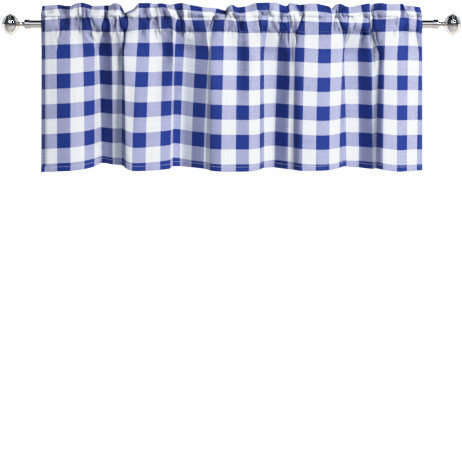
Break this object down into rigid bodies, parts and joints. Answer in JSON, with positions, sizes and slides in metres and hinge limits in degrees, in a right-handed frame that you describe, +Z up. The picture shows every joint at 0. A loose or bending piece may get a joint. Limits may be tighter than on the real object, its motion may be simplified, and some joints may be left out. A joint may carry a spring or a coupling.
{
  "type": "window valance on a curtain rod",
  "caption": "Short gathered gingham window valance with a ruffled heading, hung by its rod pocket on a polished rod with ball finials.",
  "frame": {"origin": "on the rod's axis, half way between the two finials", "axes": "+X along the rod, -Y towards the room (the side that is looked at), +Z up"},
  "size_m": [1.0772, 0.0656, 0.3996],
  "materials": {
    "gingham": "plain-woven cotton blend in a wide blue and white gingham, with a slight sheen",
    "rod_steel": "polished nickel plating",
    "collar_steel": "polished nickel plating",
    "finial_steel": "polished nickel plating"
  },
  "bodies": {
    "root": {"valance_cloth": "gingham", "rod": "rod_steel", "collar_left": "collar_steel", "collar_right": "collar_steel", "finial_left": "finial_steel", "finial_right": "finial_steel"}
  },
  "joints": []
}
